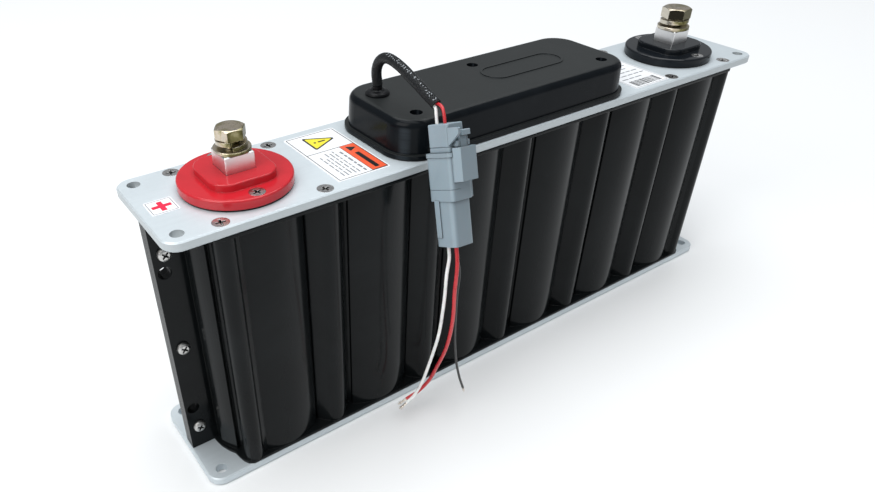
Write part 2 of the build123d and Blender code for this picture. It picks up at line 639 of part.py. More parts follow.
def conn_point(across, forward, up):
    return CONN_ORIGIN + CONN_X * across - CONN_Z.cross(CONN_X) * forward + CONN_Z * up


def conn_box(across_low, across_high, forward_low, forward_high, low, high):
    return box(across_low, across_high, -forward_high, -forward_low, low, high)


def conn_block(width, depth, radius, low, high):
    return slab(RectangleRounded(width, depth, radius), low, high)


def in_cavity(name, radius, low, high):
    across, forward = CAVITIES[name]
    return cyl(radius, low, high, across, -forward)


# Pigtail wires: board to sleeve, through it in a bundle, then into the plug ---
BUNDLE_R = 1.12                       # wire centres from the sleeve centre
TWIST = 45.0                          # turn of the bundle along the arch, in degrees


def pigtail_wire(name):
    pad_x, pad_y, run_z, bundle_angle = PIGTAILS[name]
    x = GROM_X + BUNDLE_R * math.cos(math.radians(bundle_angle))
    y = GROM_Y + BUNDLE_R * math.sin(math.radians(bundle_angle))
    inside = FilletPolyline((pad_x, pad_y, BOARD_Z + 0.2), (pad_x, pad_y, run_z),
                            (x, y, run_z), (x, y, SLEEVE_BEND_Z), radius=1.6)
    points = [Vector(x, y, SLEEVE_BEND_Z)]
    world_x = Vector(1, 0, 0)
    for i in range(1, 11):
        centre = sleeve_arch @ (i / 10)
        tangent = sleeve_arch % (i / 10)
        normal = (world_x - tangent * world_x.dot(tangent)).normalized()
        angle = math.radians(bundle_angle + TWIST * i / 10)
        points.append(centre + normal * (BUNDLE_R * math.cos(angle))
                      + tangent.cross(normal) * (BUNDLE_R * math.sin(angle)))
    entry = conn_point(*CAVITIES[name], PLUG_TOP + 0.8)
    arch = Spline(*points, entry, tangents=[Vector(0, 0, 1), CONN_Z * -1])
    tail = Line(entry, conn_point(*CAVITIES[name], PLUG_TOP - 6.0))
    return sweep_round(Wire([*inside.edges(), arch, tail]), 0.78)


for wire_name in WIRES:
    save(f"pigtail_wire_{wire_name}", pigtail_wire(wire_name))

# Connector plug, the upper half on the pack's lead ---------------------------
NOSE_W, NOSE_D = 11.4, 11.6
LATCH_X = 1.33                        # latch centre across the connector
LATCH_BACK, LATCH_FACE = 8.35, 9.45   # forward range of the latch tongue
PIVOT_Z = 5.0


def connector_plug():
    plug = conn_block(11.6, 13.2, 1.6, 1.15, PLUG_TOP)
    plug = fillet(rim_edges(plug, PLUG_TOP), 0.5)
    plug += conn_block(NOSE_W, NOSE_D, 1.4, -18.0, 1.5)
    # wing beside the latch, as (y, z)
    wing = poly([(-6.0, 4.6), (-6.5, 4.6), (-12.4, 9.6), (-12.7, 10.2), (-12.7, 12.2),
                 (-12.2, 12.7), (-6.0, 12.7)])
    plug += Pos(-5.8, 0, 0) * extrude(Plane.YZ * wing, 1.5)
    # pad and ears that carry the latch pivot
    plug += conn_box(LATCH_X - 2.8, LATCH_X + 2.8, 6.0, 7.5, PIVOT_Z - 0.8, PIVOT_Z + 0.8)
    for ear_low, ear_high in ((-4.5, -3.25), (3.25, 4.45)):
        plug += conn_box(LATCH_X + ear_low, LATCH_X + ear_high, 6.0, LATCH_BACK + 1.1,
                         PIVOT_Z - 1.3, PIVOT_Z + 1.3)
    plug -= Pos(LATCH_X, -LATCH_BACK, PIVOT_Z) * Rot(0, 90, 0) * Cylinder(0.80, 12.0)
    for name in CAVITIES:
        if name in WIRES:
            plug -= in_cavity(name, 1.12, 3.0, PLUG_TOP + 1)
            plug -= in_cavity(name, 1.45, -19.0, 4.0)
        else:
            plug -= in_cavity(name, 1.45, -19.0, 2.0)
    # faint mould line round the body
    plug -= (conn_block(13, 15, 1.6, 3.6, 3.95) - conn_block(11.2, 12.8, 1.5, 2.6, 5.6))
    return plug


def plug_seal():
    return (conn_block(15.7, 16.3, 2.3, -0.85, 1.10)
            - conn_block(NOSE_W + 0.04, NOSE_D + 0.04, 1.42, -2, 3))


def plug_latch():
    """Tongue with a hook at its lower end, a thumb bar on top and a pivot barrel."""
    latch = conn_box(LATCH_X - 3.1, LATCH_X + 3.1, LATCH_BACK, LATCH_FACE, -8.6, 9.8)
    latch += conn_box(LATCH_X - 2.3, LATCH_X + 3.6, LATCH_BACK, LATCH_FACE + 1.5, 8.6, 11.2)
    bar_edges = latch.edges().filter_by(Axis.X).filter_by(
        lambda e: e.bounding_box().min.Z > 9.5)
    latch = fillet(bar_edges, 0.45)
    hook = poly([(-LATCH_BACK - 0.2, -8.6), (-LATCH_BACK - 0.2, -5.6),
                 (-LATCH_BACK + 0.35, -5.6), (-LATCH_BACK + 0.35, -7.2)])
    latch += extrude(Plane.YZ * hook, 5.0).moved(Location((LATCH_X - 2.5, 0, 0)))
    barrel = Rot(0, 90, 0) * Cylinder(0.75, 8.8)
    latch += Pos(LATCH_X - 0.05, -LATCH_BACK, PIVOT_Z) * barrel
    for groove_x in (-2.5, 2.5):      # grooves down the front face
        latch -= conn_box(LATCH_X + groove_x - 0.15, LATCH_X + groove_x + 0.15,
                          LATCH_BACK + 0.7, LATCH_FACE + 1, -6.0, 8.0)
    return latch


def socket_contact(name):
    return in_cavity(name, 1.40, -17.0, 3.0) - in_cavity(name, 0.62, -18, 2.0)


save("connector_plug", CONN * connector_plug())
save("plug_seal", CONN * plug_seal())
save("socket_contacts", *[CONN * socket_contact(name) for name in WIRES])
save("plug_latch", CONN * plug_latch())

# Connector receptacle, the lower half on the free lead -----------------------
COLLAR_W, COLLAR_D = 15.0, 15.6       # upper body
LOWER_W, LOWER_D = 14.4, 12.4         # lower body
KEEPER_Z = -12.75


def keeper_plan(y_back):
    """Plan of the latch keeper, with its left front corner cut off."""
    y_front = -COLLAR_D / 2 - 3.75
    return poly([(LATCH_X - 7.4, y_back), (LATCH_X - 7.4, -COLLAR_D / 2 - 0.6),
                 (LATCH_X - 5.2, y_front), (LATCH_X + 6.15, y_front),
                 (LATCH_X + 6.15, y_back)])


def connector_receptacle():
    body = conn_block(COLLAR_W, COLLAR_D, 2.2, REC_STEP, -0.95)
    body += conn_block(LOWER_W - 0.2, LOWER_D + 0.8, 2.8, REC_BOTTOM, REC_STEP + 1.0)
    # side ribs of the lower body, ending short of the wire end
    body += conn_box(-LOWER_W / 2 - 0.5, LOWER_W / 2 + 0.2, -LOWER_D / 2 + 1.6,
                     -LOWER_D / 2 + 4.6, REC_BOTTOM + 4.6, REC_STEP + 0.5)
    # keeper: a base joined to the collar and a taller front part
    body += Pos(0, 0, KEEPER_Z) * extrude(keeper_plan(-COLLAR_D / 2 + 1.5), 11.8)
    body += Pos(0, 0, KEEPER_Z) * extrude(keeper_plan(-8.32), 16.0)
    # thicker rib on the right side, below the keeper
    body += conn_box(COLLAR_W / 2 - 0.5, COLLAR_W / 2 + 0.9, 0.5, COLLAR_D / 2 - 1.0,
                     REC_STEP + 0.2, -12.0)
    body = body - conn_block(NOSE_W + 0.2, NOSE_D + 0.2, 1.5, -18.4, 1)
    # pocket for the latch, wider at the top
    body -= conn_box(LATCH_X - 3.75, LATCH_X + 3.75, COLLAR_D / 2, COLLAR_D / 2 + 3.0,
                     -10.6, 5.0)
    body -= conn_box(LATCH_X - 4.7, LATCH_X + 4.7, COLLAR_D / 2, COLLAR_D / 2 + 2.0, 1.6, 5.0)
    for name in WIRES:                # pin hole, then wire entry
        body -= in_cavity(name, 0.57, -43.0, -17.0)
        body -= in_cavity(name, 1.1, REC_BOTTOM - 1, -41.9)
    # faint mould line on the left of the collar
    band = conn_block(17, 18, 2, -16.4, -16.1) - conn_block(14.7, 15.3, 2.1, -18, -12)
    body -= band & conn_box(-9, -2, -9, 9.5, -20, -12)
    return body


save("connector_receptacle", CONN * connector_receptacle())
save("pin_contacts", *[CONN * in_cavity(name, 0.55, -42.0, -3.0) for name in WIRES])

# Free wires hanging from the receptacle --------------------------------------
LEAD_R = {"white": 0.88, "red": 1.0, "black": 0.72}

# Stations down each wire, as (x, y, z)
LEADS = {
    "white": [(-81.2, -65.5, 112.9), (-83.1, -67.2, 102.2), (-84.0, -67.4, 88.6),
              (-84.6, -66.3, 73.3), (-86.0, -64.2, 58.9), (-87.0, -60.9, 43.7),
              (-87.7, -56.3, 28.1), (-89.5, -53.4, 19.4), (-93.4, -52.0, 15.1)],
    "red": [(-80.7, -71.7, 103.9), (-80.0, -71.3, 89.3), (-78.8, -68.8, 72.2),
            (-78.0, -64.2, 54.9), (-77.7, -57.7, 37.8), (-78.9, -52.9, 24.6),
            (-82.9, -49.4, 16.4), (-89.5, -46.9, 11.8)],
    "black": [(-72.7, -65.1, 109.2), (-73.6, -66.0, 97.5), (-73.0, -65.5, 82.4),
              (-71.2, -64.2, 65.4), (-69.0, -63.3, 52.0), (-66.1, -62.6, 38.6),
              (-62.5, -62.2, 26.2), (-59.1, -62.2, 16.5)],
}


def lead_wire(name):
    root = conn_point(*CAVITIES[name], REC_BOTTOM + 2.3)
    leave = conn_point(*CAVITIES[name], REC_BOTTOM - 4.0)
    stations = [Vector(*point) for point in LEADS[name]]
    end_dir = (stations[-1] - stations[-2]).normalized()
    hang = Spline(leave, *stations, tangents=[CONN_Z * -1, end_dir])
    return sweep_round(Wire([Line(root, leave), hang]), LEAD_R[name])


for wire_name in WIRES:
    save(f"lead_wire_{wire_name}", lead_wire(wire_name))

# Labels on the top plate -----------------------------------------------------
LABELS = {
    "plus_label": Pos(-197.6, -0.75) * RectangleRounded(13.2, 13.3, 1.0),
    "hazard_label": rounded_rect(-119.5, -89.2, -27.4, 27.9, 1.2),
    "data_label": rounded_rect(93.0, 124.0, -30.0, 28.0, 1.2),
}
for label_name, label_plan in LABELS.items():
    save(label_name, slab(label_plan, DECK_Z, DECK_Z + 0.18))
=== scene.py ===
"""Looks and studio for a six-cell battery pack with a plug connector on a braided cable.

The pack stands on the floor at z = 0, with its terminals and labels on top; the cable
leaves the top and hangs down towards -Y. Label prints, the cable braid and bare wire
strands are added here. Names that end in _MM, and all label and section outlines, are in
millimetres.
"""
import bpy, bmesh, math, random
from mathutils import Matrix, Vector


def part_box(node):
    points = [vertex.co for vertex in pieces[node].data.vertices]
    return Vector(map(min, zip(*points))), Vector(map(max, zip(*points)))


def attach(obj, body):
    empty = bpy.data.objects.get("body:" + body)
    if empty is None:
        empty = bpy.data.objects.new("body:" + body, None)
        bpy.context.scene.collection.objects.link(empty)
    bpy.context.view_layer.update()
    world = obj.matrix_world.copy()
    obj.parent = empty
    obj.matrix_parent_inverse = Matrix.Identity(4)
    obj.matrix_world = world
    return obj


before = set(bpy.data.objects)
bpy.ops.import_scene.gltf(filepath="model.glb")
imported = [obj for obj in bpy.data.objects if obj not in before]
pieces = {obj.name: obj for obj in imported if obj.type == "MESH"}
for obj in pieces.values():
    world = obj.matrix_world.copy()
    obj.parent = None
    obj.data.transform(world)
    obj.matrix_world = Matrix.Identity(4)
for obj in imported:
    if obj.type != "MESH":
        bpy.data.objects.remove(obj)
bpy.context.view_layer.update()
random.seed(7)

MM = 0.001
VIEW = Vector((0.4538, 0.6625, -0.5959))  # the way the camera looks
TO_CAMERA = -VIEW


# ---------------------------------------------------------------- node helpers
class Material:
    """A Principled material. Every input takes either a socket or a plain value."""

    INPUTS = {
        "color": "Base Color", "rough": "Roughness", "metal": "Metallic",
        "spec": "Specular IOR Level", "coat": "Coat Weight", "coat_rough": "Coat Roughness",
        "normal": "Normal", "sss": "Subsurface Weight", "sss_scale": "Subsurface Scale",
        "glow": "Emission Strength", "glow_color": "Emission Color",
    }

    def __init__(self, name):
        self.data = bpy.data.materials.new(name)
        self.data.use_nodes = True
        self.tree = self.data.node_tree
        self.tree.nodes.clear()
        output = self.add("ShaderNodeOutputMaterial")
        self.shader = self.add("ShaderNodeBsdfPrincipled")
        self.tree.links.new(self.shader.outputs[0], output.inputs[0])
        self.coords = self.add("ShaderNodeTexCoord").outputs["Object"]

    def put(self, node, key, value):
        socket = node.inputs[key]
        if isinstance(value, bpy.types.NodeSocket):
            self.tree.links.new(value, socket)
        elif isinstance(value, (tuple, list)) and socket.type == "RGBA" and len(value) == 3:
            socket.default_value = (*value, 1.0)
        else:
            socket.default_value = value

    def add(self, kind, inputs=None, **props):
        node = self.tree.nodes.new(kind)
        for key, value in props.items():
            setattr(node, key, value)
        for key, value in (inputs or {}).items():
            self.put(node, key, value)
        return node

    def surface(self, **inputs):
        """Sets inputs of the shader and returns the Blender material."""
        for key, value in inputs.items():
            self.put(self.shader, self.INPUTS[key], value)
        return self.data

    def noise(self, scale=1.0, detail=3.0, rough=0.5, distortion=0.0, stretch=None,
              shift=(0, 0, 0)):
        vector = self.coords
        if stretch:
            vector = self.add("ShaderNodeMapping", {
                "Vector": vector, "Scale": stretch, "Location": shift}).outputs[0]
        return self.add("ShaderNodeTexNoise", {
            "Vector": vector, "Scale": scale, "Detail": detail, "Roughness": rough,
            "Distortion": distortion}).outputs[0]

    def voronoi(self, scale):
        return self.add("ShaderNodeTexVoronoi",
                        {"Vector": self.coords, "Scale": scale}).outputs[0]

    def ramp(self, factor, stops):
        """Colour ramp over stops of (position, grey or colour)."""
        node = self.add("ShaderNodeValToRGB", {"Fac": factor})
        elements = node.color_ramp.elements
        while len(elements) < len(stops):
            elements.new(0.5)
        for element, (position, color) in zip(elements, stops):
            element.position = position
            if isinstance(color, (int, float)):
                color = (color, color, color)
            element.color = (*color, 1)
        return node.outputs[0]

    def fade(self, factor, start=0.3, end=0.7):
        """Ramp from black at start to white at end."""
        return self.ramp(factor, [(start, 0.0), (end, 1.0)])

    def mix(self, factor, first, second):
        node = self.add("ShaderNodeMix", data_type="RGBA")
        for key, value in ((0, factor), (6, first), (7, second)):
            self.put(node, key, value)
        return node.outputs[2]

    def overlay(self, color, tint, mask, strength):
        """Lays a tint over a colour where the mask is high."""
        return self.mix(self.times(mask, strength), color, tint)

    def calc(self, operation, a, b):
        return self.add("ShaderNodeMath", {0: a, 1: b}, operation=operation).outputs[0]

    def times(self, a, b):
        return self.calc("MULTIPLY", a, b)

    def plus(self, a, b):
        return self.calc("ADD", a, b)

    def minus(self, a, b):
        return self.calc("SUBTRACT", a, b)

    def remap(self, value, low=0.0, high=1.0, start=0.3, end=0.7):
        """Maps start..end onto low..high."""
        return self.add("ShaderNodeMapRange", {
            "Value": value, "From Min": start, "From Max": end,
            "To Min": low, "To Max": high}).outputs[0]

    def face_normal(self):
        return self.add("ShaderNodeNewGeometry").outputs["Normal"]

    def normal_xyz(self):
        return self.add("ShaderNodeSeparateXYZ", {0: self.face_normal()}).outputs

    def dot(self, a, b):
        return self.add("ShaderNodeVectorMath", {0: a, 1: b},
                        operation="DOT_PRODUCT").outputs["Value"]

    def bevel(self, radius):
        return self.add("ShaderNodeBevel", {"Radius": radius}, samples=4).outputs[0]

    def bump(self, height, strength, distance, normal=None):
        inputs = {"Height": height, "Strength": strength, "Distance": distance}
        if normal is not None:
            inputs["Normal"] = normal
        return self.add("ShaderNodeBump", inputs).outputs[0]

    def recess_shade(self, reach, depth, local=True):
        """1 in the open, falling to 1 - depth in recesses; used to paint shade into recesses.
        """
        node = self.add("ShaderNodeAmbientOcclusion", {"Distance": reach},
                        samples=6, only_local=local)
        start, end = (0.30, 0.85) if local else (0.45, 0.90)
        openness = self.remap(node.outputs["AO"], start=start, end=end)
        return self.plus(self.times(openness, depth), 1.0 - depth)

    def edge(self, bevel, start=0.02):
        """0 on flats, 1 on corners, from a bevel normal; corners lightened with it show partly
        wear and partly a painted highlight.
        """
        bend = self.minus(1.0, self.dot(bevel, self.face_normal()))
        return self.remap(bend, start=start, end=0.3)


def tone(color, factor, lift=0.0):
    """A colour scaled by a factor and lifted, held at 1."""
    return tuple(min(1, c * factor + lift) for c in color)


# ------------------------------------------------------------------ materials
# Bevel radii, bump distances and the reaches of shade painted into recesses are in metres.
def anodised(name, rim):
    """Anodised aluminium; rim sets how far a painted shade turns the upright side faces grey.
    """
    mat = Material(name)
    cloud = mat.noise(scale=9.0, detail=4, rough=0.55, distortion=0.4)
    grit = mat.noise(scale=2600.0, detail=2, rough=0.7)
    speck = mat.noise(scale=900.0, rough=0.6)
    streak = mat.noise(rough=0.6, stretch=(14, 420, 420))
    dark, light = (0.58, 0.64, 0.675), (0.66, 0.725, 0.76)
    color = mat.mix(mat.fade(cloud, start=0.32), dark, light)
    color = mat.overlay(color, tint=(0.86, 0.88, 0.90),
                        mask=mat.fade(grit, start=0.35, end=0.75), strength=0.16)
    color = mat.overlay(color, tint=(0.40, 0.43, 0.46),
                        mask=mat.fade(streak, start=0.45), strength=0.07)
    bevel = mat.bevel(radius=0.00018)
    # lighter edges: partly wear, partly a painted highlight
    color = mat.overlay(color, tint=(0.90, 0.92, 0.93),
                        mask=mat.edge(bevel, start=0.01), strength=0.6)
    rough = mat.plus(mat.remap(speck, low=0.40, high=0.50),
                     mat.remap(cloud, low=-0.03, high=0.05))
    # painted shade: the upright side faces are darkened toward grey
    upright = mat.calc("ABSOLUTE", mat.normal_xyz()[2], 0.0)
    side_shade_mask = mat.remap(upright, low=1.0, high=0.0, start=0.1, end=0.6)
    color = mat.overlay(color, tint=(0.38, 0.405, 0.41), mask=side_shade_mask, strength=rim)
    return mat.surface(color=color, metal=0.42, rough=rough, spec=0.5,
                       normal=mat.bump(grit, strength=0.10, distance=0.00004, normal=bevel))


def gloss_black(name, base, wave, rough, spec, dust, top_spec=None):
    """Glossy black moulding with slow waves, smudges and sparse dust."""
    mat = Material(name)
    flow = mat.noise(detail=2, stretch=(42, 42, 9), distortion=0.3)
    smudge = mat.noise(scale=22.0, detail=5, rough=0.6, distortion=0.8)
    grit = mat.noise(scale=3800.0, detail=1)
    speck = mat.voronoi(scale=700.0)
    dust_stops = [(0.0, 1.0), (0.05, 0.0)]
    color = mat.mix(mat.fade(smudge, end=0.75), base, tone(base, factor=1.9))
    color = mat.overlay(color, tint=(0.25, 0.26, 0.27),
                        mask=mat.ramp(speck, dust_stops), strength=dust)
    bevel = mat.bevel(radius=0.0006)
    smudged = mat.remap(smudge, low=rough * 0.75, high=rough * 1.5, start=0.25, end=0.75)
    dust_rough = 0.25
    rough = mat.plus(smudged, mat.times(mat.ramp(speck, dust_stops), dust_rough))
    waves = mat.bump(flow, strength=wave, distance=0.0006, normal=bevel)
    normal = mat.bump(grit, strength=0.05, distance=0.00002, normal=waves)
    if top_spec is None:
        # painted shade: faces toward -X reflect less
        end_face_shade = mat.remap(mat.normal_xyz()[0], low=0.25, start=-0.985, end=-0.93)
        spec = mat.times(end_face_shade, spec)
    else:
        # painted light and shade: the top reflects more than the walls
        spec = mat.remap(mat.normal_xyz()[2], low=spec, high=top_spec, start=0.4, end=0.9)
    return mat.surface(color=color, rough=rough, spec=spec, normal=normal)


def cover_black(name):
    """Black cover: grained and matt on top, smooth on the walls, with a streaked sheen painted
    on the walls that face front-left.
    """
    mat = Material(name)
    is_top = mat.remap(mat.normal_xyz()[2], start=0.86, end=0.97)

    def by_face(wall, top):
        return mat.remap(is_top, low=wall, high=top, start=0, end=1)

    grain = mat.voronoi(scale=1500.0)
    grit = mat.noise(scale=2600.0, rough=0.6)
    smudge = mat.noise(scale=26.0, detail=5, rough=0.6, distortion=0.9)
    cloud = mat.noise(scale=11.0, distortion=0.3)
    wall_color = mat.mix(mat.fade(smudge, end=0.8),
                         (0.0032, 0.0046, 0.0062), (0.0075, 0.0092, 0.0112))
    top_color = mat.mix(mat.fade(cloud, end=0.75),
                        (0.0085, 0.0105, 0.0108), (0.0135, 0.0158, 0.016))
    # painted sheen: a streaked reflection painted on the walls that face this way
    sheen_way = (-0.78, -0.626, 0.0)
    lines = mat.noise(detail=2, stretch=(3, 3, 620))
    facing = mat.dot(mat.face_normal(), sheen_way)
    sheen = mat.times(mat.remap(facing, high=0.75, start=0.975, end=0.999),
                      mat.remap(lines, low=0.45))
    wall_color = mat.mix(sheen, wall_color, (0.034, 0.042, 0.050))
    color = mat.mix(is_top, wall_color, top_color)
    bevel = mat.bevel(radius=0.0005)
    # lighter edges: partly wear, partly a painted highlight
    color = mat.overlay(color, tint=(0.05, 0.053, 0.055), mask=mat.edge(bevel), strength=0.35)
    rough = mat.plus(by_face(wall=0.20, top=0.47),
                     mat.remap(smudge, low=-0.05, high=0.07, start=0.25, end=0.75))
    wave = mat.noise(detail=2, stretch=(30, 30, 30), distortion=0.4)
    waves = mat.bump(wave, strength=0.22, distance=0.0008, normal=bevel)
    grain_share, grit_share = 0.6, 0.4
    height = mat.plus(mat.times(grain, grain_share), mat.times(grit, grit_share))
    normal = mat.bump(height, strength=by_face(wall=0.04, top=0.22),
                      distance=0.00006, normal=waves)
    return mat.surface(color=color, rough=rough, spec=by_face(wall=0.085, top=0.36),
                       normal=normal)


def rubber(name, base):
    mat = Material(name)
    grit = mat.noise(scale=1800.0, rough=0.6)
    cloud = mat.noise(scale=60.0, detail=4, rough=0.6)
    color = mat.mix(mat.fade(cloud), base, tone(base, factor=2.0))
    bevel = mat.bevel(radius=0.0003)
    return mat.surface(color=color, rough=mat.remap(cloud, low=0.30, high=0.44), spec=0.17,
                       normal=mat.bump(grit, strength=0.18, distance=0.00005, normal=bevel))


def moulded(name, base, rough=0.34, spec=0.5, grain=0.10, vary=0.10, radius=0.0004, coat=0.0,
            edge_wear_and_highlight=0.25, sss=0.0, wave=0.12, front_shade=1.0, crease_shade=0.0):
    """Moulded plastic with fine grain, faint flow marks and softened corners.

    The last two arguments paint shade: the first darkens the faces toward -Y, the second is the
    reach of the shade painted into creases and recesses."""
    mat = Material(name)
    flow = mat.noise(detail=4, rough=0.55, stretch=(50, 50, 22), distortion=0.8)
    grit = mat.noise(scale=2400.0, rough=0.6)
    smudge = mat.noise(scale=70.0, detail=4, rough=0.6, distortion=0.5)
    color = mat.mix(mat.fade(flow), tone(base, 1 - vary), tone(base, 1 + vary))
    # painted shade on the faces toward -Y
    if front_shade < 1.0:
        face = mat.remap(mat.normal_xyz()[1], low=1.0, high=0.0, start=-0.93, end=-0.70)
        color = mat.mix(face, color, tone(base, front_shade))
    bevel = mat.bevel(radius)
    # lighter edges: partly wear, partly a painted highlight
    color = mat.overlay(color, tint=tone(base, factor=1.35, lift=0.03),
                        mask=mat.edge(bevel), strength=edge_wear_and_highlight)
    # painted shade in creases and in recesses between parts
    if crease_shade:
        recess_shade = mat.recess_shade(reach=crease_shade, depth=0.85, local=False)
        color = mat.mix(recess_shade, tone(base, factor=0.12), color)
    waves = mat.bump(flow, strength=wave, distance=0.0003, normal=bevel)
    if sss:
        mat.surface(sss=sss, sss_scale=0.002)
    rough_offset = 0.0  # raises or lowers the roughness everywhere
    smudged = mat.remap(smudge, low=rough - 0.05, high=rough + 0.06)
    return mat.surface(color=color, rough=mat.plus(smudged, rough_offset), spec=spec,
                       coat=coat, coat_rough=0.12,
                       normal=mat.bump(grit, strength=grain, distance=0.00004, normal=waves))


def metal(name, base, brush, rough=0.25, vary=0.12, bump=0.06, radius=0.0003,
          edge_wear_and_highlight=0.4, grime=0.15, recess_shade=0.0, rough_vary=0.07):
    """Bare metal; brush is the stretch of its grain; a recess reach above zero paints shade
    into recesses.
    """
    mat = Material(name)
    lines = mat.noise(detail=4, rough=0.65, stretch=brush)
    cloud = mat.noise(scale=120.0, detail=4, rough=0.6, distortion=0.4)
    color = mat.mix(mat.fade(lines, start=0.35, end=0.65),
                    tone(base, 1 - vary), tone(base, 1 + vary))
    bevel = mat.bevel(radius)
    # lighter edges: partly wear, partly a painted highlight
    color = mat.overlay(color, tint=tone(base, factor=1.2, lift=0.05),
                        mask=mat.edge(bevel), strength=edge_wear_and_highlight)
    color = mat.overlay(color, tint=tone(base, factor=0.35),
                        mask=mat.fade(cloud, start=0.52, end=0.75), strength=grime)
    brushed = mat.remap(lines, low=max(0.02, rough - rough_vary), high=rough + rough_vary)
    rough = mat.plus(brushed, mat.remap(cloud, high=rough_vary, start=0.4, end=0.8))
    # painted shade in recesses, such as the screws' cross slots
    if recess_shade:
        color = mat.mix(mat.recess_shade(reach=recess_shade, depth=0.92), (0.02, 0.02, 0.021), color)
    return mat.surface(color=color, metal=1.0, rough=rough,
                       normal=mat.bump(lines, strength=bump, distance=0.00004, normal=bevel))


def zinc_yellow(name, shaded_way=None):
    """Yellow-passivated zinc: gold with pink and green drifts, with painted light and shade by
    face direction.

    Faces that point along shaded_way get a painted shade."""
    mat = Material(name)
    drift = mat.noise(scale=130.0, distortion=1.2)
    broad = mat.noise(scale=75.0, detail=2, stretch=(1, 1, 1), shift=(3.1, 1.7, 0.4),
                      distortion=1.0)
    fine = mat.noise(scale=1400.0, rough=0.6)
    # painted light and shade: how far the colour moves along the ramp, from dark to light, as a
    # face turns toward X, Y and Z
    light_x, light_y, light_z = -0.34, 0.40, 0.15
    normal = mat.normal_xyz()
    facing_light = mat.plus(mat.plus(mat.times(normal[0], light_x), mat.times(normal[1], light_y)),
                    mat.times(normal[2], light_z))
    broad_middle, broad_share = 0.5, 0.5
    hue_and_light = mat.plus(mat.plus(drift, facing_light),
                   mat.times(mat.minus(broad, broad_middle), broad_share))
    color = mat.ramp(hue_and_light, [
        (0.12, (0.075, 0.067, 0.026)), (0.30, (0.19, 0.17, 0.075)),
        (0.48, (0.42, 0.375, 0.23)), (0.64, (0.62, 0.53, 0.42)),
        (0.85, (0.58, 0.54, 0.46))])
    bevel = mat.bevel(radius=0.0004)
    edge = mat.edge(bevel)
    # lighter edges: partly wear, partly a painted highlight
    color = mat.overlay(color, tint=(0.86, 0.81, 0.66), mask=edge, strength=0.5)
    color = mat.overlay(color, tint=(0.16, 0.14, 0.07),
                        mask=mat.fade(fine, start=0.5, end=0.8), strength=0.25)
    # painted shade on the flat that points along shaded_way
    if shaded_way is not None:
        facing = mat.dot(mat.face_normal(), shaded_way)
        color = mat.overlay(color, tint=(0.022, 0.020, 0.014),
                            mask=mat.remap(facing, start=0.985, end=0.998),
                            strength=mat.minus(1.0, edge))
    # painted shade in recesses
    color = mat.mix(mat.recess_shade(reach=0.0025, depth=0.85), (0.03, 0.027, 0.015), color)
    return mat.surface(color=color, metal=1.0, rough=mat.remap(fine, low=0.24, high=0.38),
                       normal=mat.bump(fine, strength=0.08, distance=0.00005, normal=bevel))


def film(name, base, rough=0.35):
    """Label film or ink: flat colour with print mottling and a faint orange peel."""
    mat = Material(name)
    mottle = mat.noise(scale=420.0, detail=4, rough=0.6)
    cloud = mat.noise(scale=35.0)
    vary = 0.04
    color = mat.mix(mat.fade(mottle, start=0.35, end=0.65),
                    tone(base, 1 - vary), tone(base, 1 + vary))
    return mat.surface(color=color, rough=mat.remap(cloud, low=rough - 0.05, high=rough + 0.08),
                       coat=0.25, coat_rough=0.2,
                       normal=mat.bump(mottle, strength=0.04, distance=0.00004))


def insulation(name, base, rough=0.3):
    """Extruded wire jacket."""
    mat = Material(name)
    fine = mat.noise(scale=1500.0, rough=0.6)
    cloud = mat.noise(scale=160.0, rough=0.6)
    color = mat.mix(mat.fade(cloud), tone(base, factor=0.86), tone(base, factor=1.1))
    return mat.surface(color=color, rough=mat.remap(cloud, low=rough - 0.05, high=rough + 0.08),
                       spec=0.5, coat=0.15, coat_rough=0.15,
                       normal=mat.bump(fine, strength=0.08, distance=0.00005),
                       sss=0.05, sss_scale=0.001)


def paint(material, *names):
    for name in names:
        piece = pieces[name]
        if not piece.data.materials:
            piece.data.materials.append(material)
        for slot in piece.material_slots:
            slot.material = material


def bolt_flat_to_camera():
    """Normal of the negative bolt's upright flat that faces the camera most."""
    toward = Vector((TO_CAMERA.x, TO_CAMERA.y, 0.0)).normalized()
    max_tilt, min_area = 0.02, 4e-6
    flats = [face.normal for face in pieces["negative_terminal_bolt"].data.polygons
             if abs(face.normal.z) < max_tilt and face.area > min_area]
    return max(flats, key=lambda normal: normal.dot(toward), default=None)


# plates, shells and cover
# rim gives the top plate's side faces a painted shade
paint(anodised("plate_anodised", rim=0.55), "top_plate")
paint(anodised("base_plate_anodised", rim=0.0), "bottom_plate")
paint(gloss_black("case_gloss_black", base=(0.0042, 0.0050, 0.0054), wave=0.22, rough=0.14,
                  spec=0.13, dust=0.04), "front_shell", "rear_shell")
paint(cover_black("cover_black"), "cover")
paint(rubber("seal_rubber", base=(0.0045, 0.0050, 0.0058)), "cover_gasket",
      "positive_flange_gasket", "negative_flange_gasket", "cable_grommet")

# terminals and screws
paint(moulded("flange_red", base=(0.50, 0.017, 0.026), rough=0.15, spec=0.42, grain=0.04,
              vary=0.07, radius=0.0005, edge_wear_and_highlight=0.35, wave=0.16),
      "positive_terminal_flange")
paint(gloss_black("flange_gloss_black", base=(0.0052, 0.0066, 0.0086), wave=0.08, rough=0.11,
                  spec=0.16, dust=0.03, top_spec=0.40), "negative_terminal_flange")
paint(metal("post_milled_aluminium", base=(0.76, 0.755, 0.755), rough=0.34,
            brush=(160, 160, 16), vary=0.03, grime=0.03, bump=0.02, rough_vary=0.03,
            radius=0.00028, edge_wear_and_highlight=1.0),
      "positive_terminal_post", "negative_terminal_post")
paint(zinc_yellow("zinc_yellow"), "positive_flat_washer", "positive_spring_washer",
      "positive_terminal_bolt", "negative_flat_washer", "negative_spring_washer")
paint(zinc_yellow("zinc_yellow_shaded", shaded_way=bolt_flat_to_camera()),
      "negative_terminal_bolt")
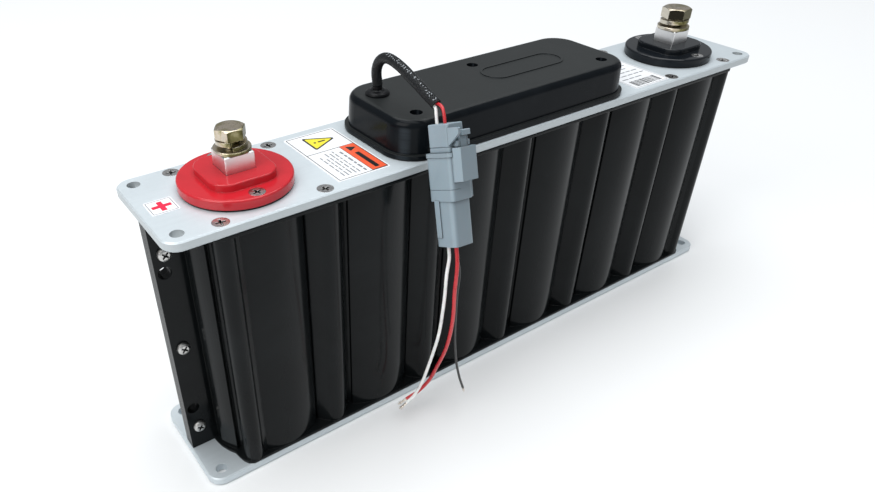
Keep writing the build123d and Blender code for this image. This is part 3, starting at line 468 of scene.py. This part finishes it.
paint(metal("screw_bright_zinc", base=(0.70, 0.69, 0.68), rough=0.22, brush=(500, 500, 500),
            vary=0.15, grime=0.40, recess_shade=0.0014),
      "cover_screws", "flange_screws", "top_plate_screws", "bottom_plate_screws")
paint(metal("screw_dull_zinc", base=(0.56, 0.555, 0.54), rough=0.34, brush=(500, 500, 500),
            vary=0.15, grime=0.40, recess_shade=0.0016), "shell_screws", "shell_nuts")

# cells and balancing board
paint(metal("cell_can_aluminium", base=(0.80, 0.80, 0.81), rough=0.32, brush=(600, 600, 10),
            vary=0.06), *[f"cell_{i}" for i in range(1, 7)])
paint(moulded("cell_sleeve_film", base=(0.03, 0.06, 0.16), rough=0.28, coat=0.2),
      "cell_sleeves")
paint(metal("busbar_milled_aluminium", base=(0.82, 0.82, 0.83), rough=0.30,
            brush=(14, 700, 700), vary=0.08),
      "bottom_busbar_1_2", "bottom_busbar_3_4", "bottom_busbar_5_6",
      "top_busbar_2_3", "top_busbar_4_5")
paint(moulded("insulator_sheet", base=(0.78, 0.76, 0.66), rough=0.5, grain=0.2),
      "top_insulator", "bottom_insulator")
paint(moulded("board_solder_mask", base=(0.012, 0.12, 0.045), rough=0.3, grain=0.15,
              vary=0.18, coat=0.2), "balancing_board")
paint(metal("standoff_brass", base=(0.80, 0.62, 0.28), rough=0.25, brush=(400, 400, 400)),
      "board_standoffs")
paint(moulded("chip_epoxy", base=(0.012, 0.012, 0.013), rough=0.5, grain=0.3),
      "control_chips")
paint(moulded("resistor_ceramic", base=(0.76, 0.75, 0.71), rough=0.55, grain=0.3),
      "bypass_resistors")

# connector, cable and wires
paint(moulded("connector_nylon", base=(0.275, 0.345, 0.392), rough=0.36, spec=0.45,
              grain=0.10, vary=0.06, radius=0.00035, edge_wear_and_highlight=0.5, sss=0.04, front_shade=0.68,
              crease_shade=0.0015), "connector_plug", "connector_receptacle", "plug_latch")
paint(moulded("connector_seal", base=(0.255, 0.315, 0.355), rough=0.40, spec=0.4,
              grain=0.12, vary=0.08, radius=0.0003, crease_shade=0.0007), "plug_seal")
paint(metal("contact_tin", base=(0.82, 0.82, 0.83), rough=0.18, brush=(300, 300, 20)),
      "pin_contacts", "socket_contacts")
filament = moulded("braid_filament", base=(0.0065, 0.0080, 0.0095), rough=0.24, spec=0.27,
                   grain=0.2, vary=0.3, wave=0.2)
# light tracer flecks that stand in for glints on the braid: painted glints
glint_tracer = moulded("braid_glint_tracer", base=(0.60, 0.64, 0.68), rough=0.28, spec=0.6, grain=0.2,
                 vary=0.25)
paint(rubber("sleeve_liner", base=(0.006, 0.006, 0.0065)), "cable_sleeve")
paint(insulation("wire_red", base=(0.55, 0.022, 0.030)),
      "lead_wire_red", "pigtail_wire_red", "sense_wires")
paint(insulation("wire_black", base=(0.010, 0.010, 0.011), rough=0.35),
      "lead_wire_black", "pigtail_wire_black")
paint(insulation("wire_white", base=(0.84, 0.84, 0.83)),
      "lead_wire_white", "pigtail_wire_white")
strand_metal = metal("tinned_strand", base=(0.72, 0.66, 0.60), rough=0.28,
                     brush=(900, 900, 900), vary=0.15)

# labels and inks
paint(film("label_film", base=(0.86, 0.87, 0.89)), "plus_label", "hazard_label", "data_label")
black = film("ink_black", base=(0.012, 0.012, 0.013), rough=0.4)
grey = film("ink_grey", base=(0.23, 0.24, 0.26), rough=0.4)
yellow = film("ink_yellow", base=(0.84, 0.72, 0.035))
orange = film("ink_orange", base=(0.82, 0.115, 0.045))
red = film("ink_red", base=(0.72, 0.010, 0.055))


# ------------------------------------------------------------------ mesh helpers
class Solids:
    """Collects closed prisms, rings and tubes into one object."""

    def __init__(self, *materials):
        self.materials = materials
        self.verts, self.faces, self.slots = [], [], []

    def close(self, faces, material):
        self.faces += faces
        self.slots += [self.materials.index(material)] * len(faces)

    def layer(self, points, z):
        self.verts += [Vector((x, y, z)) * MM for x, y in points]

    def prism(self, points, bottom, top, material):
        """Prism over an anticlockwise plan outline."""
        n, b = len(points), len(self.verts)
        self.layer(points, bottom)
        self.layer(points, top)
        caps = [tuple(b + n + j for j in range(n)), tuple(b + j for j in reversed(range(n)))]
        self.close(caps + [(b + j, b + (j + 1) % n, b + n + (j + 1) % n, b + n + j)
                           for j in range(n)], material)

    def ring(self, outer, inner, bottom, top, material):
        n, b = len(outer), len(self.verts)
        for points, z in ((outer, bottom), (outer, top), (inner, bottom), (inner, top)):
            self.layer(points, z)
        faces = []
        for j in range(n):
            k = (j + 1) % n
            faces += [
                (b + j, b + k, b + n + k, b + n + j),
                (b + 2 * n + k, b + 2 * n + j, b + 3 * n + j, b + 3 * n + k),
                (b + n + j, b + n + k, b + 3 * n + k, b + 3 * n + j),
                (b + k, b + j, b + 2 * n + j, b + 2 * n + k)]
        self.close(faces, material)

    def tube(self, centres, axes, section, material):
        """Sweep of a section along centres (metres), each with its (across, up) axes."""
        n, b, count = len(section), len(self.verts), len(centres)
        for centre, (across, up) in zip(centres, axes):
            self.verts += [centre + across * (p * MM) + up * (q * MM) for p, q in section]
        faces = []
        for r in range(count - 1):
            for j in range(n):
                k = (j + 1) % n
                faces.append((b + r * n + j, b + r * n + k,
                              b + (r + 1) * n + k, b + (r + 1) * n + j))
        faces += [tuple(b + j for j in reversed(range(n))),
                  tuple(b + (count - 1) * n + j for j in range(n))]
        self.close(faces, material)

    def make(self, name, slot, smooth=False, body="pack"):
        mesh = bpy.data.meshes.new(name)
        mesh.from_pydata([tuple(v) for v in self.verts], [], self.faces)
        for material in self.materials:
            mesh.materials.append(material)
        mesh.polygons.foreach_set("material_index", self.slots)
        mesh.polygons.foreach_set("use_smooth", [smooth] * len(self.faces))
        mesh.update()
        mesh.validate()
        piece = bpy.data.objects.new(name, mesh)
        bpy.context.scene.collection.objects.link(piece)
        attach(piece, body)


def rounded(x0, x1, y0, y1, radius, steps=5):
    """Rectangle with rounded corners, anticlockwise."""
    points = []
    for x, y, turn in ((x1 - radius, y1 - radius, 0), (x0 + radius, y1 - radius, 90),
                       (x0 + radius, y0 + radius, 180), (x1 - radius, y0 + radius, 270)):
        for j in range(steps + 1):
            angle = math.radians(turn + 90 * j / steps)
            points.append((x + radius * math.cos(angle), y + radius * math.sin(angle)))
    return points


def round_poly(corners, radius, steps=4):
    """Rounds the corners of an anticlockwise polygon."""
    points = []
    for i in range(len(corners)):
        corner = Vector(corners[i])
        back = (Vector(corners[i - 1]) - corner).normalized()
        ahead = (Vector(corners[(i + 1) % len(corners)]) - corner).normalized()
        half = math.acos(max(-1, min(1, back.dot(ahead)))) / 2
        reach = radius / math.tan(half)
        centre = corner + (back + ahead).normalized() * (radius / math.sin(half))
        first = corner + back * reach - centre
        last = corner + ahead * reach - centre
        start, end = math.atan2(first.y, first.x), math.atan2(last.y, last.x)
        while end < start:
            end += 2 * math.pi
        for j in range(steps + 1):
            angle = start + (end - start) * j / steps
            points.append((centre.x + radius * math.cos(angle),
                           centre.y + radius * math.sin(angle)))
    return points


def ellipse(half_x, half_y, count, x=0.0, y=0.0):
    angles = [2 * math.pi * j / count for j in range(count)]
    return [(x + half_x * math.cos(a), y + half_y * math.sin(a)) for a in angles]


def frames_along(points):
    """(across, up, tangent) at each point, carried along without twist."""
    tangents = []
    for i in range(len(points)):
        before, after = points[max(0, i - 1)], points[min(len(points) - 1, i + 1)]
        tangents.append((after - before).normalized())
    first = tangents[0]
    guide = Vector((1, 0, 0)) if abs(first.x) < 0.9 else Vector((0, 1, 0))
    across = (guide - first * guide.dot(first)).normalized()
    frames = []
    for tangent in tangents:
        across = (across - tangent * across.dot(tangent)).normalized()
        frames.append((across, tangent.cross(across).normalized(), tangent))
    return frames


# ------------------------------------------------------------------ label prints
class LabelPrint(Solids):
    """Thin ink solids on one label, in millimetres."""

    SINK, RISE = 0.02, 0.035  # ink below and above the label's face
    FILL_DROP = 0.012         # colour fills stop this far under the ink's top
    MARK_DEPTH = 0.014        # marks over a fill reach this far down

    def __init__(self, label, *materials):
        super().__init__(*materials)
        low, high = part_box(label)
        low, high = low / MM, high / MM
        self.edges = low.x, high.x, low.y, high.y
        self.bottom, self.top = high.z - self.SINK, high.z + self.RISE

    def line(self, points, ink):
        self.prism(points, self.bottom, self.top, ink)

    def fill(self, points, ink):
        self.prism(points, self.bottom, self.top - self.FILL_DROP, ink)

    def mark(self, points, ink):
        self.prism(points, self.top - self.MARK_DEPTH, self.top, ink)

    def outline(self, outer, inner, ink):
        self.ring(outer, inner, self.bottom, self.top, ink)

    def inset(self, margin, radius, widen=0.0):
        """The label's outline moved in by a margin, widened at its +X edge."""
        x0, x1, y0, y1 = self.edges
        return rounded(x0 + margin, x1 - margin + widen, y0 + margin, y1 - margin, radius)


# lines of dashes: distance in from the +X edge, width, start and end up from the -Y edge
HAZARD_ROWS = [
    (12.6, 1.25, 3.0, 27.5), (15.9, 0.75, 3.0, 30.0), (18.1, 0.75, 3.0, 28.4),
    (20.3, 0.75, 3.0, 29.6), (22.5, 0.75, 3.0, 24.0), (24.7, 0.75, 3.0, 27.0),
]


def print_hazard_label():
    art = LabelPrint("hazard_label", black, grey, yellow, orange)
    x0, x1, y0, y1 = art.edges
    art.outline(art.inset(0.95, 0.7, widen=0.1), art.inset(1.37, 0.4, widen=0.1), black)

    # yellow triangle with a black rim, pointing to +X
    base, tip, side0, side1 = x0 + 8.8, x0 + 25.2, y0 + 35.6, y0 + 52.0
    triangle = [(base, side1), (base, side0), (tip, (side0 + side1) / 2)]
    mid_x = sum(x for x, y in triangle) / 3
    mid_y = sum(y for x, y in triangle) / 3
    inside = 0.80
    inner = round_poly([(mid_x + (x - mid_x) * inside, mid_y + (y - mid_y) * inside)
                        for x, y in triangle], 0.5)
    art.outline(round_poly(triangle, 1.0), inner, black)
    art.fill(inner, yellow)
    # bar and dot inside the triangle
    art.mark(rounded(mid_x + 0.2, mid_x + 4.6, mid_y - 0.62, mid_y + 0.62, 0.45), black)
    art.mark(ellipse(0.75, 0.75, 16, x=mid_x - 1.6, y=mid_y), black)

    # divider, then an orange band with a rim, a bar and a small triangle
    art.line(rounded(x0 + 1.2, x1 - 9.4, y0 + 32.24, y0 + 32.66, 0.1, 2), black)
    art.fill(rounded(x1 - 9.9, x1 - 1.1, y0 + 1.6, y0 + 32.5, 0.3), orange)
    rim = 0.25
    left, right, low, high = x1 - 10.1, x1 - 1.0, y0 + 1.4, y0 + 32.7
    art.outline(rounded(left, right, low, high, 0.3),
                rounded(left + rim, right - rim, low + rim, high - rim, 0.2), black)
    art.mark(rounded(x1 - 6.9, x1 - 4.3, y0 + 3.4, y0 + 22.4, 0.5), black)
    art.mark(round_poly([(x1 - 7.4, y0 + 30.8), (x1 - 7.4, y0 + 25.0),
                         (x1 - 2.6, y0 + 27.9)], 0.4), black)

    # dashes in place of the text
    gap, shortest_rest = 0.8, 1.5
    for inset, width, start, end in HAZARD_ROWS:
        x = x1 - inset
        y, stop = y0 + end, y0 + start
        while y > stop + shortest_rest:
            dash = min(random.uniform(2.2, 6.0), y - stop)
            art.line(rounded(x - width / 2, x + width / 2, y - dash, y, width * 0.45, 3), grey)
            y -= dash + gap
    art.make("hazard_label_print", slot="label_hazard")


def print_plus_label():
    art = LabelPrint("plus_label", grey, red)
    x0, x1, y0, y1 = art.edges
    art.outline(art.inset(0.65, 0.6), art.inset(1.02, 0.4), grey)
    a, b, w = 4.6, 4.4, 1.25  # half length in X, half length in Y, half width of the arms
    cross = [(a, -w), (a, w), (w, w), (w, b), (-w, b), (-w, w),
             (-a, w), (-a, -w), (-w, -w), (-w, -b), (w, -b), (w, -w)]
    mid_x, mid_y = (x0 + x1) / 2, (y0 + y1) / 2
    art.line([(mid_x + x, mid_y + y) for x, y in cross], red)
    art.make("plus_label_print", slot="label_plus")


def print_data_label():
    art = LabelPrint("data_label", black, grey)
    x0, x1, y0, y1 = art.edges
    # barcode
    x = x0 + 4.0
    while x < x1 - 4.5:
        width = random.choice([0.35, 0.7, 1.1])
        art.line(rounded(x, x + width, y0 + 2.4, y0 + 10.0, 0.05, 1), black)
        x += width + random.choice([0.45, 0.8])
    # rows of dashes; every third row ends early
    rows, first_row, pitch, height = 9, 13.2, 4.6, 0.95
    margin, short_margin, gap = 3.0, 9.0, 0.9
    for j in range(rows):
        y = y0 + first_row + j * pitch
        x = x0 + margin
        end = x1 - (margin if j % 3 else short_margin)
        while x < end - 1.0:
            dash = min(random.uniform(2.0, 6.5), end - x)
            art.line(rounded(x, x + dash, y, y + height, 0.35, 3), grey)
            x += dash + gap
    art.outline(art.inset(0.75, 0.7), art.inset(1.1, 0.5), grey)
    art.make("data_label_print", slot="label_data")


print_hazard_label()
print_plus_label()
print_data_label()


# ------------------------------------------------------------------ braid over the cable sleeve
# centre line of the sleeve from the pack to the connector: x, y, z
SLEEVE_MM = [
    (-70.000, 12.000, 171.000), (-70.000, 12.000, 172.818), (-70.000, 12.000, 174.636),
    (-70.000, 12.000, 176.454), (-70.000, 12.000, 178.272), (-70.000, 12.000, 180.090),
    (-70.038, 12.009, 181.907), (-70.178, 12.032, 183.720), (-70.414, 12.030, 185.522),
    (-70.692, 11.935, 187.315), (-70.909, 11.681, 189.101), (-71.006, 11.251, 190.864),
    (-71.013, 10.630, 192.571), (-70.954, 9.784, 194.177), (-70.847, 8.671, 195.607),
    (-70.708, 7.302, 196.791), (-70.554, 5.736, 197.696), (-70.402, 4.028, 198.293),
    (-70.268, 2.238, 198.562), (-70.156, 0.424, 198.558), (-70.066, -1.381, 198.367),
    (-69.994, -3.172, 198.069), (-69.940, -4.955, 197.719), (-69.904, -6.730, 197.327),
    (-69.888, -8.495, 196.892), (-69.892, -10.250, 196.416), (-69.916, -11.993, 195.902),
    (-69.957, -13.728, 195.359), (-70.010, -15.459, 194.804), (-70.070, -17.189, 194.252),
    (-70.133, -18.926, 193.719), (-70.188, -20.666, 193.195), (-70.219, -22.399, 192.645),
    (-70.216, -24.114, 192.042), (-70.177, -25.803, 191.373), (-70.108, -27.474, 190.658),
    (-70.019, -29.139, 189.934), (-69.912, -30.823, 189.258), (-69.717, -32.525, 188.667),
    (-69.457, -34.082, 187.767), (-69.200, -35.600, 186.800),
]
# lengths in metres
BRAID_STEPS = 230
YARNS = 12              # in each winding direction
WINDING = 2 * math.pi / 0.0125  # radians per metre, one turn each 12.5 mm
BRAID_RADIUS = 0.00258
WEAVE_DEPTH = 0.00007   # yarns ride this far over and under each other
GROMMET_GAP = 0.0004
FLECK_RADIUS, FLECK_LIFT = 0.00276, 0.00008
FLECKS_FROM, FLECKS_STOP = 0.021, 0.0016  # clear lengths at the two ends


class CentreLine:
    def __init__(self, points_mm):
        self.points = [Vector(point) * MM for point in points_mm]
        self.lengths = [0.0]
        for before, after in zip(self.points, self.points[1:]):
            self.lengths.append(self.lengths[-1] + (after - before).length)
        self.end = self.lengths[-1]

    def at(self, distance):
        """Point at a distance along the line."""
        distance = max(0.0, min(self.end, distance))
        i = 1
        while i < len(self.lengths) - 1 and self.lengths[i] < distance:
            i += 1
        before, after = self.lengths[i - 1], self.lengths[i]
        return self.points[i - 1].lerp(self.points[i], (distance - before) / (after - before))


def outward(across, up, angle):
    return across * math.cos(angle) + up * math.sin(angle)


def add_yarns(solids, centres, frames, run):
    section = ellipse(0.40, 0.10, 8)
    for way in (1, -1):
        for yarn in range(YARNS):
            phase = 2 * math.pi * yarn / YARNS
            points, axes = [], []
            for centre, (across, up, tangent), distance in zip(centres, frames, run):
                turned = WINDING * (distance - run[0])
                out = outward(across, up, phase + way * turned)
                weave = way * WEAVE_DEPTH * math.cos(turned * YARNS)
                points.append(centre + out * (BRAID_RADIUS + weave))
                lean = tangent.cross(out) * (way * WINDING * BRAID_RADIUS)
                yarn_way = (tangent + lean).normalized()
                axes.append((yarn_way.cross(out).normalized(), out))
            solids.tube(points, axes, section, filament)


def add_glint_flecks(solids, line, frames, start):
    """Painted glints: light tracer flecks, set only between the camera side and the top of the
    braid.
    """
    section = ellipse(0.26, 0.09, 6)
    above = Vector((0, 0, 1))
    skip_chance = 0.34

    def frame_at(distance):
        step = int(round((distance - start) / (line.end - start) * (BRAID_STEPS - 1)))
        return frames[min(BRAID_STEPS - 1, max(0, step))]

    distance = start + FLECKS_FROM
    while distance < line.end - FLECKS_STOP:
        length = random.uniform(0.0005, 0.0010)
        across, up, tangent = frame_at(distance)
        camera_angle = math.atan2(TO_CAMERA.dot(up), TO_CAMERA.dot(across))
        top_angle = math.atan2(above.dot(up), above.dot(across))
        turn = (top_angle - camera_angle + math.pi) % (2 * math.pi) - math.pi
        for part in (0.05, 0.62):
            if random.random() < skip_chance:
                continue
            middle = camera_angle + turn * part + math.radians(random.uniform(-7, 7))
            sweep = random.choice([-1, 1]) * random.uniform(0.16, 0.30)
            points, axes = [], []
            for j in range(5):
                t = j / 4
                place = distance + length * t
                across, up, tangent = frame_at(place)
                out = outward(across, up, middle + sweep * (t - 0.5))
                lift = FLECK_LIFT * math.sin(math.pi * t)
                points.append(line.at(place) + out * (FLECK_RADIUS + lift))
                axes.append((out.cross(tangent).normalized(), out))
            solids.tube(points, axes, section, glint_tracer)
        distance += length + random.uniform(0.0004, 0.0012)


def build_braid():
    line = CentreLine(SLEEVE_MM)
    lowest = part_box("cable_grommet")[1].z + GROMMET_GAP
    start = next(length for length, point in zip(line.lengths, line.points)
                 if point.z > lowest)
    run = [start + (line.end - start) * i / (BRAID_STEPS - 1) for i in range(BRAID_STEPS)]
    centres = [line.at(distance) for distance in run]
    frames = frames_along(centres)
    solids = Solids(filament, glint_tracer)
    add_yarns(solids, centres, frames, run)
    add_glint_flecks(solids, line, frames, start)
    solids.make("cable_sleeve_braid", slot="braid_black", smooth=True)


build_braid()


# ------------------------------------------------------------------ bare ends of the free wires
# object, end of the jacket (mm), direction, strand count, strand length (mm)
FREE_WIRES = [
    ("bare_strands_white", (-93.4, -52.0, 15.1), (-0.6531, 0.2344, -0.7201), 9, 6.0),
    ("bare_strands_red", (-89.5, -46.9, 11.8), (-0.7835, 0.2968, -0.5460), 9, 6.0),
    ("bare_strands_black", (-59.1, -62.2, 16.5), (0.3308, 0.0, -0.9437), 7, 3.6),
]
STRAND_RADIUS_MM = 0.16
INNER_RING_MM, OUTER_RING_MM = 0.34, 0.58  # one strand in the middle, four in the inner ring
STRANDS_PER_TURN = 4.37
LAY_TWIST = 1.6   # radians over a strand's length
TUCK_MM = 1.0     # strands start this far inside the jacket
STRAND_POINTS = 12


def build_strands(name, end, direction, count, length):
    along = Vector(direction).normalized()
    origin = Vector(end) * MM
    guide = Vector((0, 0, 1)) if abs(along.z) < 0.8 else Vector((1, 0, 0))
    across = along.cross(guide).normalized()
    up = along.cross(across).normalized()
    solids = Solids(strand_metal)
    section = ellipse(STRAND_RADIUS_MM, STRAND_RADIUS_MM, 8)
    for j in range(count):
        ring = 0.0 if j == 0 else (INNER_RING_MM if j < 5 else OUTER_RING_MM)
        phase = 2 * math.pi * j / STRANDS_PER_TURN
        splay = random.uniform(0.2, 1.0)
        reach = length * random.uniform(0.82, 1.0)
        points = []
        for i in range(STRAND_POINTS):
            t = i / (STRAND_POINTS - 1)
            radius = (ring + splay * 0.5 * t * t) * MM
            points.append(origin + along * ((reach + TUCK_MM) * t - TUCK_MM) * MM
                          + outward(across, up, phase + LAY_TWIST * t) * radius)
        axes = [axis[:2] for axis in frames_along(points)]
        solids.tube(points, axes, section, strand_metal)
    solids.make(name, slot="contact_tin", smooth=True, body="connector_half")


for wire in FREE_WIRES:
    build_strands(*wire)


# ------------------------------------------------------------------ studio
scene = bpy.context.scene


def floor_paper():
    """White paper that glows faintly away from the pack."""
    mat = Material("floor_paper")
    cloud = mat.noise(scale=1.5)
    fibre = mat.noise(scale=700.0, rough=0.6)
    color = mat.mix(cloud, (0.86, 0.865, 0.87), (0.88, 0.883, 0.885))
    normal = mat.bump(fibre, strength=0.02, distance=0.0001)
    away = mat.add("ShaderNodeVectorMath", {0: mat.coords}, operation="LENGTH")
    glow = mat.remap(away.outputs["Value"], high=0.30, start=0.45, end=1.5)
    return mat.surface(color=color, rough=0.85, spec=0.1, normal=normal,
                       glow=glow, glow_color=(0.97, 0.985, 1.0))


def build_floor():
    grid = bmesh.new()
    bmesh.ops.create_grid(grid, x_segments=8, y_segments=8, size=4.0)
    mesh = bpy.data.meshes.new("floor")
    grid.to_mesh(mesh)
    grid.free()
    floor = bpy.data.objects.new("floor", mesh)
    floor.location = (0, 0, -0.0003)  # just clear of the pack's underside
    scene.collection.objects.link(floor)
    mesh.materials.append(floor_paper())


def build_world(color, strength):
    world = bpy.data.worlds.new("studio")
    scene.world = world
    world.use_nodes = True
    tree = world.node_tree
    tree.nodes.clear()
    output = tree.nodes.new("ShaderNodeOutputWorld")
    background = tree.nodes.new("ShaderNodeBackground")
    background.inputs[0].default_value = (*color, 1)
    background.inputs[1].default_value = strength
    tree.links.new(background.outputs[0], output.inputs[0])


def area_light(name, location, size, power, color, aim=(0, 0, 0.1)):
    light = bpy.data.lights.new(name, "AREA")
    light.shape = "RECTANGLE"
    light.size = size
    light.size_y = size
    light.energy = power
    light.color = color
    lamp = bpy.data.objects.new(name, light)
    lamp.location = location
    toward = Vector(aim) - Vector(location)
    lamp.rotation_euler = toward.to_track_quat("-Z", "Y").to_euler()
    scene.collection.objects.link(lamp)


def build_camera(location, right, lens, shift_x, shift_y):
    camera = bpy.data.cameras.new("camera")
    holder = bpy.data.objects.new("camera", camera)
    scene.collection.objects.link(holder)
    right = Vector(right).normalized()
    ahead = (VIEW - right * VIEW.dot(right)).normalized()
    up = right.cross(ahead).normalized()
    rows = [(right[i], up[i], -ahead[i], location[i]) for i in range(3)]
    holder.matrix_world = Matrix((*rows, (0, 0, 0, 1)))
    camera.sensor_width = 36.0
    camera.lens = lens
    camera.shift_x = shift_x
    camera.shift_y = shift_y
    camera.clip_start = 0.01
    camera.clip_end = 20
    scene.camera = holder


build_floor()
build_world(color=(0.93, 0.965, 1.0), strength=0.34)
area_light("key", location=(-1.25, -0.25, 1.05), size=1.0, power=12.0, color=(1.0, 0.99, 0.97))
area_light("top", location=(0.05, 0.10, 1.6), size=1.6, power=26.0, color=(0.96, 0.985, 1.0))
build_camera(location=(-0.28052, -0.28861, 0.32053), right=(0.8239, -0.5668, -0.0027),
             lens=29.717, shift_x=0.07613, shift_y=0.05065)
scene.view_settings.view_transform = "Standard"
scene.view_settings.look = "None"
scene.view_settings.exposure = 0.0
scene.view_settings.gamma = 1.0
